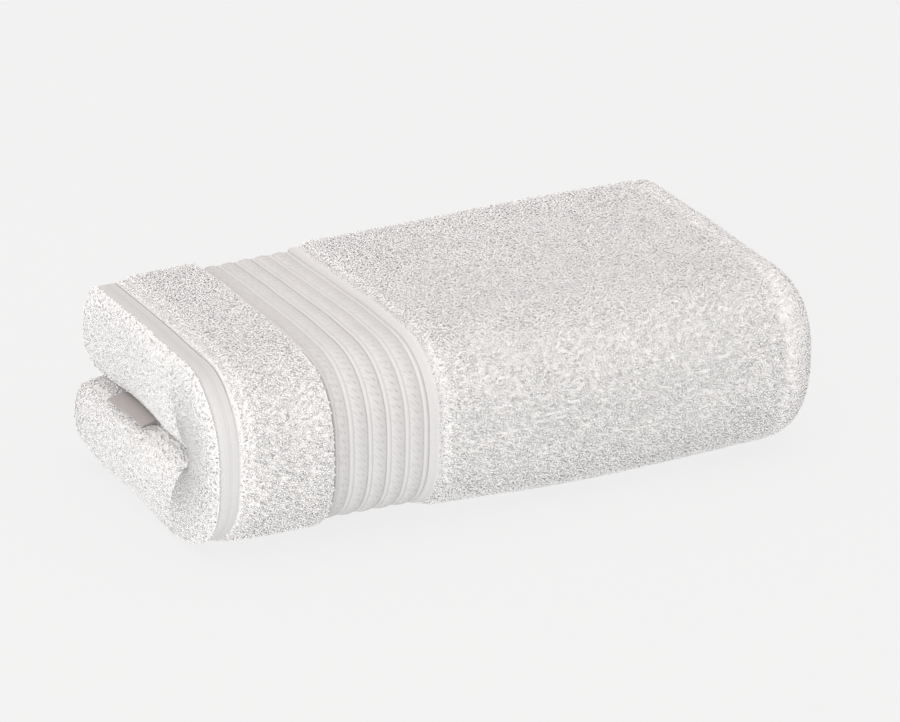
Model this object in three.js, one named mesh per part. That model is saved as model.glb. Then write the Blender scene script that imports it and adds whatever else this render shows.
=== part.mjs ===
// A white terry bath towel, folded into a thick bundle that lies on its side, with a small woven
// label looped out of its crease. Millimetres: +X runs along the bundle away from the hemmed end,
// +Y away from the round front fold, +Z up. The origin is the middle of the bundle's underside.
//
// The cloth is folded three times, as the real one is. First its width is halved, which gives a
// slab of two plies. Then the slab is rolled flat into four passes, the first inside and the last,
// with the hem and the woven border, outside. Last, the stack is closed like a book about a spine
// at the front, so that the hem and the border run round the front from top to underside.
import * as THREE from "three";

// The cloth as it was cut and woven. Each band runs across its whole width, in order from the
// outer hem's edge, and ply is how thick one layer of it is.
const clothLength = 1500;
const pileCloth = 6.2;
const gapInSlab = 0.7;
const gapBetweenPasses = 0.9;
const bands = [
  { name: "hem", width: 10, ply: 4.7 },
  { name: "seam", width: 2.4, ply: 4.1 },
  { name: "low pile", width: 6, ply: 5.3 },
  { name: "strip", width: 45.7, ply: 6.2 },
  { name: "border", width: 63.3, ply: 4 },
  { name: "low pile", width: 8, ply: 5.2 },
];
const bandRamp = 0.9;

// The bundle.
const bundleLength = 380.5;
const bundleDepth = 189;
const bundleHeight = 111;
const depthTaper = 9;
const hemEndDrop = 1.5;
const dropLength = 190;
const frontDrop = 2;
const creaseFrontHeight = 48.5;
const creaseRise = 4.4;
const creaseBackDrop = 4;
const creaseGap = 2.1;
const creaseHollow = 4.6;
const creaseHollowDepth = 30;
const creaseShoulder = 1.5;
const layerSlip = 15;

// The spine's profile, seen along the bundle.
const spineReach = 57;
const frontHeight = 58;
const shoulderPower = 2.45;
const heelShape = [
  { x: 0, power: 2.6 },
  { x: 130, power: 2.7 },
  { x: 230, power: 3.4 },
  { x: 380, power: 2.4 },
];

// The round ends of the flat roll.
const outerEndPower = 2.25;
const lobeCreasePower = 3.5;
const lobeHemPower = 2.9;
const innerEndBulge = 6;
const lowerLobeBulge = 6;
const lobeLean = 4;
const lobeRound = 4.5;
const lowerSag = 0.85;
const lowerSwell = 0.6;
const lobeSwell = 0.42;
const swellStart = -0.4;
const swellEnd = -1.5;
const rollClearance = 1.2;
const cornerPull = 2;

// The border's corded ribs.
const ribCount = 5;
const ribHeight = 0.9;
const ribMargin = 3;

// How far the hemmed end is out of true at the back of the top and of the underside. At the foot
// of the spine the hem runs out further, and the lobe beside it is tucked in. The hem also runs out
// round the front, where the strip leans over the border, and it draws back on the underside.
const hemSkewTop = 5;
const hemSkewUnder = 2;
const hemFootRun = 5;
const lobeTuck = 4;
const hemFrontRun = 2.8;
const stripLean = 2.5;
const hemUnderTuck = 7;
const skewLength = 130;

// The label.
const labelFront = 100.5;
const labelLength = 47;
const labelInside = 11;
const labelOutside = -5.6;
const labelBend = 5;
const labelDroop = 2.4;
const labelCloth = 0.35;
const labelGap = 0.3;

// Sizes that follow from these.
const slab = 2 * pileCloth + gapInSlab;
const pitch = slab + gapBetweenPasses;
const stack = 4 * slab + 3 * gapBetweenPasses;
const outerEndCentre = bundleLength - stack / 2;
const innerEndRadius = (3 * slab + 2 * gapBetweenPasses) / 2;
const innerEndCentre = innerEndRadius - innerEndBulge;
const foldedEndCentre = outerEndCentre - rollClearance;

// A quarter of a superellipse: 0 gives (1, 0) and a right angle gives (0, 1).
function roundedQuarter(angle, power) {
  const c = Math.cos(angle);
  const s = Math.sin(angle);
  const across = Math.sign(c) * Math.abs(c) ** (2 / power);
  const along = Math.sign(s) * Math.abs(s) ** (2 / power);
  return [across, along];
}

// From 0 to 1 as x goes from a to b, with a soft start and end.
function smooth(x, a, b) {
  const t = Math.min(1, Math.max(0, (x - a) / (b - a)));
  return t * t * (3 - 2 * t);
}

// Even steps from a to b, both included.
function steps(a, b, count) {
  return Array.from({ length: count + 1 }, (_, i) => a + ((b - a) * i) / count);
}

// Where each band starts and ends, measured from the outer hem's edge.
function bandSpans() {
  let start = 0;
  return bands.map((band) => {
    const span = { ...band, start, end: start + band.width };
    start = span.end;
    return span;
  });
}

const spans = bandSpans();
const border = spans.find((span) => span.name === "border");
const ribStart = border.start + ribMargin;
const ribEnd = border.end - ribMargin;
const fieldStart = spans[spans.length - 1].end;

// Thickness of one ply at a distance from the outer hem's edge.
function plyThickness(fromHem) {
  let ply = pileCloth;
  for (const span of [...spans].reverse()) {
    const inside = 1 - smooth(fromHem, span.end - bandRamp, span.end + bandRamp);
    ply += (span.ply - ply) * inside;
  }
  return ply;
}

// Height of the corded ribs above the border's ground.
function ribRelief(fromHem) {
  if (fromHem <= ribStart || fromHem >= ribEnd) return 0;
  const turns = ((fromHem - ribStart) / (ribEnd - ribStart)) * ribCount;
  return ribHeight * Math.sin(Math.PI * (turns % 1)) ** 0.7;
}

// Distances from the outer hem's edge at which the outer pass has a section.
function outerPassStops() {
  const stops = [0];
  for (const span of spans) {
    if (span.width > 40 && span !== border) stops.push((span.start + span.end) / 2);
    if (span === border) {
      const ribPitch = (ribEnd - ribStart) / ribCount;
      for (const rib of steps(ribStart, ribEnd, ribCount).slice(0, -1))
        stops.push(rib, rib + ribPitch * 0.2, rib + ribPitch * 0.5, rib + ribPitch * 0.8);
      stops.push(ribEnd);
    }
    stops.push(span.end - bandRamp, span.end + bandRamp);
  }
  return [...stops, ...steps(fieldStart + 35, outerEndCentre, 4).slice(0, -1)];
}

// The roll seen from the front, from the outer hem inwards. Each section has the point x, h where
// the slab's inner side lies, h being the distance from the crease, and the way its thickness goes.
function rollSections() {
  const sections = [];
  const straight = (xs, h, way) => {
    for (const x of xs) sections.push({ x, h, wayX: 0, wayH: way, ply: pileCloth, relief: 0 });
  };
  const turn = (centreX, centreH, inner, side, fromTop, angles) => {
    for (const { angle, power } of angles) {
      const [across, along] = roundedQuarter(angle, power);
      const up = fromTop ? -along : along;
      sections.push({
        x: centreX + side * inner * across,
        h: centreH + inner * up,
        wayX: side * across,
        wayH: up,
        ply: pileCloth,
        relief: 0,
      });
    }
  };
  for (const x of outerPassStops())
    sections.push({ x, h: 3 * pitch, wayX: 0, wayH: 1, ply: plyThickness(x), relief: ribRelief(x) });
  turn(outerEndCentre, stack / 2, stack / 2 - slab, 1, true, outerAngles(8));
  straight(steps(outerEndCentre, innerEndCentre, 4).slice(1, -1), slab, -1);
  turn(innerEndCentre, innerEndRadius, innerEndRadius - slab, -1, false, lobeAngles());
  straight(steps(innerEndCentre, foldedEndCentre, 3).slice(1, -1), 2 * pitch, 1);
  turn(foldedEndCentre, stack / 2, gapBetweenPasses / 2, 1, true, outerAngles(6));
  straight([foldedEndCentre / 2, innerHemEdge()], pitch + slab, -1);
  return sections;
}

// Angles of the sections round the far end, from one pass to the next.
function outerAngles(count) {
  return steps(-90, 90, count).map((degrees) => ({
    angle: THREE.MathUtils.degToRad(degrees),
    power: outerEndPower,
  }));
}

// Angles of the sections round a lobe of the hemmed end, from the crease side to the hem side. Two
// of them lie just clear of the hem's edge, where the lobe starts to swell.
function lobeAngles() {
  const angleAt = (x) => {
    const across = (innerEndCentre - x) / innerEndRadius;
    return THREE.MathUtils.radToDeg(Math.acos(across ** (lobeHemPower / 2)));
  };
  const creaseSide = [-90, -72, -54, -36, -18];
  const hemSide = [0, 12, 24, 36, angleAt(swellEnd), angleAt(swellStart), 78, 90];
  return [...creaseSide, ...hemSide].map((degrees) => ({
    angle: THREE.MathUtils.degToRad(degrees),
    power: degrees < 0 ? lobeCreasePower : lobeHemPower,
  }));
}

// Where the first pass starts, so that the whole roll uses up the cloth's length.
function innerHemEdge() {
  const arc = (inner) => Math.PI * (inner + slab / 2);
  const used =
    outerEndCentre +
    arc(stack / 2 - slab) +
    (outerEndCentre - innerEndCentre) +
    arc(innerEndRadius - slab) +
    (foldedEndCentre - innerEndCentre) +
    arc(gapBetweenPasses / 2);
  return foldedEndCentre - (clothLength - used);
}

// Stops round the book from the underside's back edge, over the spine, to the top's back edge.
function bookStops() {
  const flats = [0.25, 0.62, 1];
  const lower = [...flats].reverse().map((share) => ({ on: "lower", share, angle: -90 }));
  const spine = steps(-90, 90, 10).map((angle) => ({ on: "spine", share: 0, angle }));
  const upper = flats.map((share) => ({ on: "upper", share, angle: 90 }));
  return [...lower, ...spine, ...upper];
}

// The outline of the slab's two plies as one closed loop of stops. face says which side of which
// ply a stop is on, or that it goes round the first fold, at the back of the top.
function slabLoop() {
  const along = bookStops();
  const back = [...along].reverse();
  const end = along[along.length - 1];
  return [
    ...along.map((stop) => ({ ...stop, face: "outerTop" })),
    ...[-54, -18, 18, 54].map((turn) => ({ ...end, face: "outerTurn", turn })),
    ...back.map((stop) => ({ ...stop, face: "innerTop" })),
    ...along.map((stop) => ({ ...stop, face: "innerUnder" })),
    { ...end, face: "innerTurn" },
    ...back.map((stop) => ({ ...stop, face: "outerUnder" })),
  ];
}

// How far a stop lies through the slab from its inner side, and how far past the back edge.
function throughSlab(stop, ply, relief) {
  const thick = 2 * ply + gapInSlab;
  const turn = THREE.MathUtils.degToRad(stop.turn ?? 0);
  switch (stop.face) {
    case "outerTop":
      return [thick + relief, 0];
    case "outerUnder":
      return [thick - ply, 0];
    case "innerUnder":
      return [ply, 0];
    case "innerTop":
      return [0, 0];
    case "outerTurn":
      return [(thick / 2) * (1 - Math.sin(turn)), (thick / 2) * Math.cos(turn)];
    default:
      return [thick / 2, gapInSlab / 2];
  }
}

// A value from a table of rows with x and power, with soft steps between the rows.
function fromTable(rows, x) {
  let value = rows[0].power;
  for (let i = 1; i < rows.length; i++)
    value += (rows[i].power - rows[i - 1].power) * smooth(x, rows[i - 1].x, rows[i].x);
  return value;
}

// Height of the crease between the two halves, at a distance behind the spine's centre.
function creaseHeight(behind) {
  const share = Math.min(1, Math.max(0, behind / (bundleDepth - spineReach)));
  const rise = creaseRise * Math.sin((Math.PI / 2) * Math.min(1, 1.45 * share));
  return creaseFrontHeight + rise - creaseBackDrop * smooth(share, 0.6, 1);
}

// The bundle seen along X: where a stop of the book lies, out being the share of the way from the
// crease to the outside, and beyond how far the first fold carries it past the back edge.
function bookPoint(x, stop, out, beyond) {
  const top = bundleHeight - hemEndDrop * (1 - smooth(x, 20, dropLength));
  const flat = bundleDepth - spineReach - depthTaper * (1 - smooth(x, -10, bundleLength));
  const behind = stop.share * (flat + layerSlip * (1 - out)) + beyond;
  const hollow = (creaseHollow - creaseGap) * (1 - smooth(behind, 0, creaseHollowDepth));
  const opening = creaseGap + hollow;
  const crease = creaseHeight(behind);
  if (stop.on === "upper") {
    const drop = frontDrop * (1 - Math.sin((Math.PI / 2) * Math.min(1, (1.6 * behind) / flat)));
    const low = crease + opening / 2;
    return [spineReach + behind, low + (top - drop - low) * out];
  }
  const shoulder = creaseShoulder * (1 - smooth(x, -8, 16));
  const high = crease - opening / 2 - shoulder;
  if (stop.on === "lower") return [spineReach + behind, high * (1 - out)];
  const angle = THREE.MathUtils.degToRad(stop.angle);
  const over = stop.angle >= 0;
  const [across, up] = roundedQuarter(angle, over ? shoulderPower : fromTable(heelShape, x));
  const outerY = spineReach - spineReach * across;
  const rise = over ? top - frontDrop - frontHeight : frontHeight;
  const outerZ = frontHeight + rise * up;
  const innerY = spineReach - (opening / 2) * Math.cos(angle);
  const innerZ = (crease + opening / 2 + high) / 2 + ((crease + opening / 2 - high) / 2) * up;
  return [innerY + (outerY - innerY) * out, innerZ + (outerZ - innerZ) * out];
}

// How far a point is moved along X: the hemmed end is out of true, its two lobes bulge unevenly,
// the upper one rounder at the back and the lower one sagging there, and the far end's front corner
// is drawn in.
function shiftAlong(x, stop, out) {
  const skew = stop.on === "upper" ? hemSkewTop : hemSkewUnder;
  const fade = 1 - smooth(x, -innerEndBulge, skewLength);
  const outside = 1 - smooth(x, -12, 14);
  const under = 1 - smooth(stop.angle, -60, 60);
  const fullness = 1 - smooth(out, 0.55, 1) * (1 - lowerSag * stop.share);
  const atCrease = (1 - 0.5 * smooth(stop.share, 0, 0.5)) * (1 - smooth(out, 0, 0.4));
  const lower = -lowerLobeBulge * under * (fullness - atCrease);
  const lean = (lobeRound * stop.share * (1 - smooth(out, 0, 0.55)) - lobeLean * out) * (1 - under);
  const atEnd = smooth(x, bundleLength - 80, bundleLength);
  const atFront = 1 - smooth(Math.abs(stop.angle + 35), 0, 110);
  const nearSpine = 1 - smooth(stop.share, 0, 0.6);
  const pull = cornerPull * atEnd * atFront * nearSpine * out;
  const atFoot = (1 - smooth(stop.angle, -90, -15)) * nearSpine * out;
  const run = hemFootRun * (1 - smooth(x, 14, 60)) - lobeTuck * (1 - smooth(x, -7, 1));
  const roundFront = (1 - smooth(stop.angle, 35, 88)) * nearSpine * out;
  const leaning = stripLean * smooth(x, 40, 61) * (1 - smooth(x, 64, 76));
  const edges = leaning - hemFrontRun * (1 - smooth(x, 8, 50));
  const below = stop.on === "lower" ? smooth(stop.share, 0, 0.3) : 0;
  const tuck = hemUnderTuck * below * smooth(x, -1.5, 4) * (1 - smooth(x, 20, 90));
  const shift = skew * stop.share * fade + (lower + lean) * outside - pull + tuck;
  return shift - run * atFoot + edges * roundFront;
}

// Just outside the hem the outer ply of the lobes swells until it is flush with it, less so below,
// where the lobe rises clear of the surface, and not at the selvedges at the underside's back.
function swollen(x, stop, through, out) {
  const outer = smooth(through, pileCloth + gapInSlab, slab);
  const free = stop.on === "lower" ? smooth(stop.share, 0.6, 1) : 0;
  const seen = (1 - free) * (lowerSwell + (1 - lowerSwell) * smooth(stop.angle, -90, -45));
  return out * (1 + lobeSwell * outer * seen * (1 - smooth(x, swellEnd, swellStart)));
}

// A point of the towel: a section of the roll, and a stop of the loop.
function towelPoint(section, stop) {
  const [through, beyond] = throughSlab(stop, section.ply, section.relief);
  const x = section.x + section.wayX * through;
  const out = (section.h + section.wayH * through) / stack;
  const [y, z] = bookPoint(x, stop, swollen(x, stop, through, out), beyond);
  return [x + shiftAlong(x, stop, out), y, z];
}

// A closed skin over rows of points that all go round the same loop, without its two ends.
function skin(rows) {
  const n = rows[0].length;
  const indices = [];
  for (let i = 0; i + 1 < rows.length; i++) {
    for (let j = 0; j < n; j++) {
      const a = i * n + j;
      const b = i * n + ((j + 1) % n);
      indices.push(a, a + n, b, b, a + n, b + n);
    }
  }
  return { points: rows.flat(2), indices };
}

// A strip of triangles between two runs of points in one row.
function strip(indices, runA, runB, flip) {
  for (let k = 0; k + 1 < runA.length; k++) {
    const [a, b, c, d] = [runA[k], runA[k + 1], runB[k], runB[k + 1]];
    if (flip) indices.push(a, c, b, b, c, d);
    else indices.push(a, b, c, b, d, c);
  }
}

function toGeometry({ points, indices }) {
  const geometry = new THREE.BufferGeometry();
  geometry.setAttribute("position", new THREE.Float32BufferAttribute(points, 3));
  geometry.setIndex(indices);
  geometry.computeVertexNormals();
  return geometry;
}

// The whole towel: the loop swept along the roll, and both hems' edges closed between the plies.
function towelGeometry() {
  const loop = slabLoop();
  const rows = rollSections().map((section) => loop.map((stop) => towelPoint(section, stop)));
  const shape = skin(rows);
  const perFace = bookStops().length;
  const turns = loop.filter((stop) => stop.face === "outerTurn").length;
  const run = (start, count) => steps(start, start + count - 1, count - 1);
  for (const [first, flip] of [[0, true], [(rows.length - 1) * loop.length, false]]) {
    const outerTop = run(first, perFace);
    const outerTurn = run(first + perFace, turns);
    const innerTop = run(first + perFace + turns, perFace).reverse();
    const innerUnder = run(first + 2 * perFace + turns, perFace);
    const hub = first + 3 * perFace + turns;
    const outerUnder = run(hub + 1, perFace).reverse();
    strip(shape.indices, outerTop, outerUnder, !flip);
    strip(shape.indices, innerUnder, innerTop, !flip);
    const last = perFace - 1;
    const fan = [outerTop[last], ...outerTurn, innerTop[last]];
    const inner = [outerUnder[last], outerUnder[last], hub, hub, innerUnder[last], innerUnder[last]];
    for (let k = 0; k + 1 < fan.length; k++) {
      const corners = [[fan[k], inner[k], fan[k + 1]]];
      if (inner[k] !== inner[k + 1]) corners.push([fan[k + 1], inner[k], inner[k + 1]]);
      for (const [a, b, c] of corners) shape.indices.push(...(flip ? [a, c, b] : [a, b, c]));
    }
  }
  return toGeometry(shape);
}

// The label: a ribbon folded into a flat loop, tucked into the crease and drooping outside it.
function labelGeometry() {
  const droop = (x) => {
    const share = Math.max(0, (labelBend - x) / (labelBend - labelOutside));
    return -labelDroop * share ** 1.5;
  };
  const half = labelGap / 2 + labelCloth;
  const nose = labelOutside + half;
  const side = (offset) => [
    ...steps(labelInside, nose, 6).map((x) => [x, droop(x) + offset]),
    [nose - Math.abs(offset) * 0.7, droop(nose) + offset * 0.7],
  ];
  const round = (offset) => [
    ...side(offset),
    [nose - offset, droop(nose)],
    ...side(-offset).reverse(),
  ];
  const profile = [...round(half), ...round(labelGap / 2).reverse()];
  const rows = steps(labelFront, labelFront + labelLength, 8).map((y) =>
    profile.map(([x, z]) => [x, y, creaseHeight(y - spineReach) + z]),
  );
  const shape = skin(rows);
  const count = profile.length / 2;
  for (const [first, flip] of [[0, true], [(rows.length - 1) * profile.length, false]]) {
    const outer = steps(first, first + count - 1, count - 1);
    const inner = steps(first + count, first + 2 * count - 1, count - 1).reverse();
    strip(shape.indices, outer, inner, !flip);
  }
  return toGeometry(shape);
}

const towelMaterial = new THREE.MeshStandardMaterial({
  color: 0xf2f1ee,
  roughness: 0.95,
  metalness: 0,
});
const towel = new THREE.Mesh(towelGeometry(), towelMaterial);
towel.name = "towel";

const labelMaterial = new THREE.MeshStandardMaterial({
  color: 0x8f8883,
  roughness: 0.55,
  metalness: 0,
});
const label = new THREE.Mesh(labelGeometry(), labelMaterial);
label.name = "label";

// The origin goes to the middle of the bundle's underside.
const bundle = new THREE.Group();
bundle.add(towel, label);
const box = new THREE.Box3().setFromObject(bundle);
const middle = box.getCenter(new THREE.Vector3());
for (const mesh of [towel, label]) mesh.geometry.translate(-middle.x, -middle.y, -box.min.z);

export default bundle;
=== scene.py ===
"""Looks of the folded bath towel: its cloth on the CAD solid's folds, the loops of its pile, the
corded border, the label, a pale floor, studio light and the camera.

The cloth is worked out in millimetres in the folding's own axes, as in the part's source: x runs
from the outer hem's edge along the bundle, y from the front of the spine to the back, z up. Two
distances in the cloth name each place on it: p goes along the roll from the outer hem, and q round
the book from the back of the underside, over the spine, to the back of the top.
"""

import math

import bpy
import numpy as np
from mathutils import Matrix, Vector
from mathutils.bvhtree import BVHTree


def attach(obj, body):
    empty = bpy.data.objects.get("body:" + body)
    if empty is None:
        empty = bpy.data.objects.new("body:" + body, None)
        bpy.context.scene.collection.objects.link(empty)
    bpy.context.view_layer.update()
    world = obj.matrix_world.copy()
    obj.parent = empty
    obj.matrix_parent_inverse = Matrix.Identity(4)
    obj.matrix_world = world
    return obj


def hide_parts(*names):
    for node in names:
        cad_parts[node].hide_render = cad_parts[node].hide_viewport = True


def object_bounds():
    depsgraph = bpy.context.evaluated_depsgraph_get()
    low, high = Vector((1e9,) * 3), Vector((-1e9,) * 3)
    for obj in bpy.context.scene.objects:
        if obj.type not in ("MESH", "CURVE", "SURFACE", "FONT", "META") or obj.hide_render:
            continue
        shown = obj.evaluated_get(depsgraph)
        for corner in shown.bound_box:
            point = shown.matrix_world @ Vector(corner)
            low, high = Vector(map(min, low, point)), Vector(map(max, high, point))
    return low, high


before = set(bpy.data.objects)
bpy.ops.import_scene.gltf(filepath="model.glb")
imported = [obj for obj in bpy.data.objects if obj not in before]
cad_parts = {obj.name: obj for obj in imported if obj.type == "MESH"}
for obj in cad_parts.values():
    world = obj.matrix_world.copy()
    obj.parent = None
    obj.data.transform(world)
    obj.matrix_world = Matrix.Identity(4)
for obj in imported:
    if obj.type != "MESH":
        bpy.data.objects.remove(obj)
cad_low, cad_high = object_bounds()
rng = np.random.default_rng(7)

# ---- Sizes of the cloth and its folds, as in the part's source, in mm
CLOTH = (800.0, 1500.0)
PILE_PLY = 6.2
GAP_IN_SLAB = 0.7
GAP_BETWEEN = 0.9
BANDS = [  # name, width, thickness of a ply
    ("hem", 10.0, 4.7),
    ("seam", 2.4, 4.1),
    ("low pile", 6.0, 5.3),
    ("strip", 45.7, 6.2),
    ("border", 63.3, 4.0),
    ("low pile", 8.0, 5.2),
]
BAND_RAMP = 0.9
SOFT_EDGE = [0, 0, 4.0, 0, 0, 3.0]  # wider ramps where low pile rises to full pile
LENGTH, DEPTH, HEIGHT = 380.5, 189.0, 111.0
DEPTH_TAPER, HEM_DROP, DROP_LENGTH, FRONT_DROP = 9.0, 1.5, 190.0, 2.0
CREASE_FRONT, CREASE_RISE, CREASE_BACK_DROP, CREASE_GAP = 48.5, 4.4, 4.0, 2.1
CREASE_HOLLOW, HOLLOW_DEPTH, CREASE_SHOULDER = 4.6, 30.0, 1.5
LAYER_SLIP = 15.0
SPINE_REACH, FRONT_HEIGHT, SHOULDER_POWER = 57.0, 58.0, 2.45
HEEL = [(0.0, 2.6), (130.0, 2.7), (230.0, 3.4), (380.0, 2.4)]  # x, power
OUTER_POWER, CREASE_POWER, HEM_POWER = 2.25, 3.5, 2.9
END_BULGE, LOWER_BULGE, LEAN, CORNER_PULL = 6.0, 6.0, 4.0, 2.0
SWELL, LOWER_SWELL, SWELL_START, SWELL_END = 0.42, 0.9, -0.05, -0.45
ROLL_CLEARANCE = 1.2
SKEW_TOP, SKEW_UNDER, SKEW_LENGTH = 5.0, 2.0, 130.0
HEM_FOOT_RUN, LOBE_TUCK = 5.0, 4.0
LOBE_ROUND, LOWER_SAG = 4.5, 0.85
HEM_FRONT_RUN, STRIP_LEAN, CREASE_REACH, HEM_UNDER_TUCK = 2.8, 2.5, 8.0, 7.0
HEM_BACK_TUCK, HEEL_STEP_POWER = 7.0, 2.7

SLAB = 2 * PILE_PLY + GAP_IN_SLAB
PITCH = SLAB + GAP_BETWEEN
STACK = 4 * SLAB + 3 * GAP_BETWEEN
OUTER_CENTRE = LENGTH - STACK / 2
INNER_RADIUS = (3 * SLAB + 2 * GAP_BETWEEN) / 2
INNER_CENTRE = INNER_RADIUS - END_BULGE
FOLDED_CENTRE = OUTER_CENTRE - ROLL_CLEARANCE

ends = np.cumsum([w for _, w, _ in BANDS])
BORDER_START, BORDER_END = float(ends[3]), float(ends[4])
FIELD_START = float(ends[5])
BORDER_PLY = BANDS[4][2]
FAR_FROM_HEM, INSIDE_MARK = 1000.0, 500.0  # stand for a distance from the outer hem, past its bands

# ---- Looks
GROUND = {"hem": 0.0, "seam": -0.9, "low pile": 0.5, "strip": 1.05, "border": 0.6}  # under the tips
FIELD_GROUND = 1.05


def smooth(x, a, b):
    t = np.clip((x - a) / (b - a), 0, 1)
    return t * t * (3 - 2 * t)


def quarter(angle, power):
    c, s = np.cos(angle), np.sin(angle)
    return np.sign(c) * np.abs(c) ** (2 / power), np.sign(s) * np.abs(s) ** (2 / power)


def banded(from_hem, values, field, ramp=BAND_RAMP):
    """A value for each band, with a soft step between two bands."""
    out = np.full(np.shape(from_hem), field)
    for end, value, blend in list(zip(ends, values, SOFT_EDGE))[::-1]:
        width = blend or ramp
        out = out + (value - out) * (1 - smooth(from_hem, end - width, end + width))
    return out


def ply_at(from_hem):
    return banded(from_hem, [ply for _, _, ply in BANDS], PILE_PLY)


def ground_at(from_hem):
    return banded(from_hem, [GROUND[name] for name, _, _ in BANDS], FIELD_GROUND)


def dense(count):
    """Angles from 0 to 90 degrees, closest together at both ends."""
    return 45 * (1 - np.cos(np.linspace(0, np.pi, count)))


def roll_table():
    """The roll from the outer hem inwards, in small steps: p on the slab's outer side, the place x, h
    of its inner side, the way through it, and the distance from the outer hem."""
    rows = []

    def straight(a, b, h, way):
        n = max(2, int(abs(b - a)))
        rows.extend((x, h, 0.0, way) for x in np.linspace(a, b, n))

    def turn(centre, height, inner, side, from_top, power_a, power_b):
        for angle in np.radians(np.concatenate([-dense(240)[::-1], dense(240)[1:]])):
            across, along = quarter(angle, power_a if angle < 0 else power_b)
            up = -along if from_top else along
            rows.append((centre + side * inner * across, height + inner * up, side * across, up))

    straight(0, OUTER_CENTRE, 3 * PITCH, 1)
    outer_end = len(rows)
    turn(OUTER_CENTRE, STACK / 2, STACK / 2 - SLAB, 1, True, OUTER_POWER, OUTER_POWER)
    turn_end = len(rows)
    straight(OUTER_CENTRE, INNER_CENTRE, SLAB, -1)
    lobe_start = len(rows)
    turn(INNER_CENTRE, INNER_RADIUS, INNER_RADIUS - SLAB, -1, False, CREASE_POWER, HEM_POWER)
    lobe_end = len(rows)
    straight(INNER_CENTRE, FOLDED_CENTRE, 2 * PITCH, 1)
    turn(FOLDED_CENTRE, STACK / 2, GAP_BETWEEN / 2, 1, True, OUTER_POWER, OUTER_POWER)
    straight(FOLDED_CENTRE, inner_hem_edge(), PITCH + SLAB, -1)
    table = np.array(rows)
    outer = table[:, :2] + SLAB * table[:, 2:]
    step = np.hypot(*np.diff(outer, axis=0).T)
    p = np.concatenate([[0], np.cumsum(np.maximum(step, 1e-6))])
    marks = {"outer": p[outer_end - 1], "turn": p[turn_end - 1]}
    marks.update({"lobe": p[lobe_start], "lobe end": p[lobe_end - 1], "end": p[-1]})
    hem_side = lobe_start + int(np.argmax(outer[lobe_start + 240 : lobe_end, 0] > SWELL_END)) + 240
    marks["hem side"] = p[hem_side]
    return p, table, marks


def inner_hem_edge():
    def arc(inner):
        return math.pi * (inner + SLAB / 2)

    used = OUTER_CENTRE + arc(STACK / 2 - SLAB) + (OUTER_CENTRE - INNER_CENTRE)
    used += arc(INNER_RADIUS - SLAB) + (FOLDED_CENTRE - INNER_CENTRE) + arc(GAP_BETWEEN / 2)
    return FOLDED_CENTRE - (CLOTH[1] - used)


def heel_power(x):
    value = np.full(np.shape(x), HEEL[0][1])
    for (x0, p0), (x1, p1) in zip(HEEL, HEEL[1:]):
        value = value + (p1 - p0) * smooth(x, x0, x1)
    return value


def stop_table():
    """Round the book at the outside, in small steps: q, share of the flat part, and angle."""
    flat = DEPTH - SPINE_REACH
    rows = [(s, -90.0, SPINE_REACH + s * flat, 0.0) for s in np.linspace(1, 0, 100)[:-1]]
    for angle in np.concatenate([-dense(400)[::-1], dense(400)[1:]]):
        power = SHOULDER_POWER if angle >= 0 else HEEL_STEP_POWER
        across, up = quarter(math.radians(angle), power)
        rise = HEIGHT - FRONT_DROP - FRONT_HEIGHT if angle >= 0 else FRONT_HEIGHT
        rows.append((0.0, angle, SPINE_REACH * (1 - across), FRONT_HEIGHT + rise * up))
    rows += [(s, 90.0, SPINE_REACH + s * flat, HEIGHT) for s in np.linspace(0, 1, 100)[1:]]
    table = np.array(rows)
    step = np.hypot(*np.diff(table[:, 2:], axis=0).T)
    q = np.concatenate([[0], np.cumsum(np.maximum(step, 1e-6))])
    return q, table, q[98], q[len(q) - 100]


P, ROLL, MARKS = roll_table()
Q, STOPS, Q_LOW, Q_HIGH = stop_table()


def crease_height(behind):
    share = np.clip(behind / (DEPTH - SPINE_REACH), 0, 1)
    rise = CREASE_RISE * np.sin(np.pi / 2 * np.minimum(1, 1.45 * share))
    return CREASE_FRONT + rise - CREASE_BACK_DROP * smooth(share, 0.6, 1)


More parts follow.
